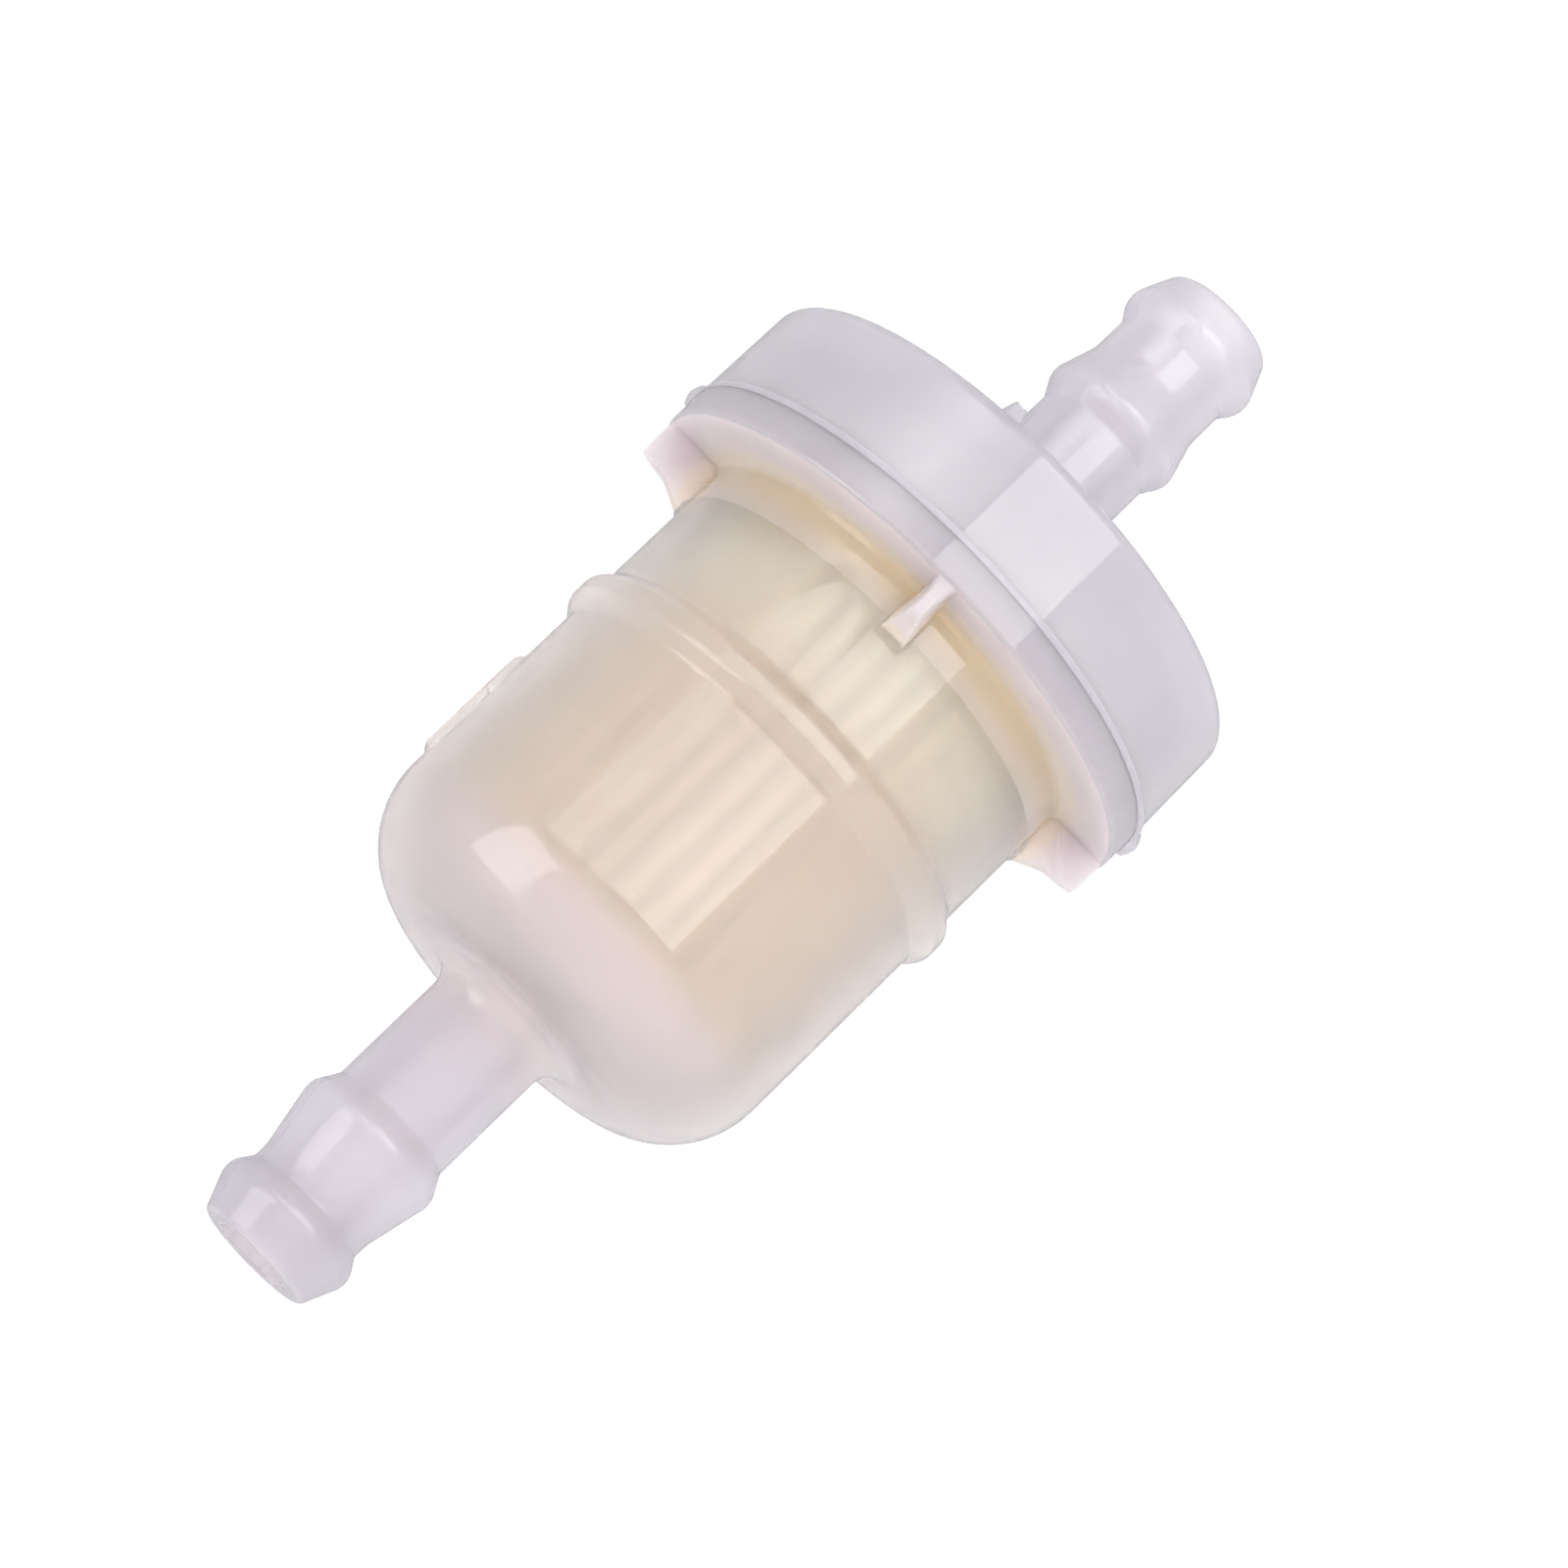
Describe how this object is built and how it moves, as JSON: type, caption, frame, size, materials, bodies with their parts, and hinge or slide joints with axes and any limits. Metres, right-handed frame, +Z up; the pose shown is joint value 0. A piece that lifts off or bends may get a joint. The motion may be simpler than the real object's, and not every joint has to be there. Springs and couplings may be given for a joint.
{
  "type": "fuel filter",
  "caption": "Small translucent in-line fuel filter: welded nylon bowl and cap round a pleated paper element, with a barbed hose spigot at each end.",
  "frame": {"origin": "on the axis, half-way between the two hose tips, which is the centre of the bounding box", "axes": "+X along the fuel flow, from the inlet spigot to the outlet spigot; +Z up; the raised flow arrow is on the +Y side"},
  "size_m": [0.0668, 0.0312, 0.0306],
  "materials": {
    "shell_nylon": "translucent, glossy as moulded",
    "weld_flash": "translucent, rough from welding",
    "inner_nylon": "satin",
    "filter_paper": "matte, fibrous",
    "potting_adhesive": "glossy, amber"
  },
  "bodies": {
    "root": {"inlet_bowl": "shell_nylon", "outlet_cap": "shell_nylon", "weld_flash_ring": "weld_flash", "element_top_plate": "inner_nylon", "potting_top": "potting_adhesive", "pleated_paper": "filter_paper", "core_cage": "inner_nylon", "potting_bottom": "potting_adhesive", "element_bottom_cup": "inner_nylon"}
  },
  "joints": []
}
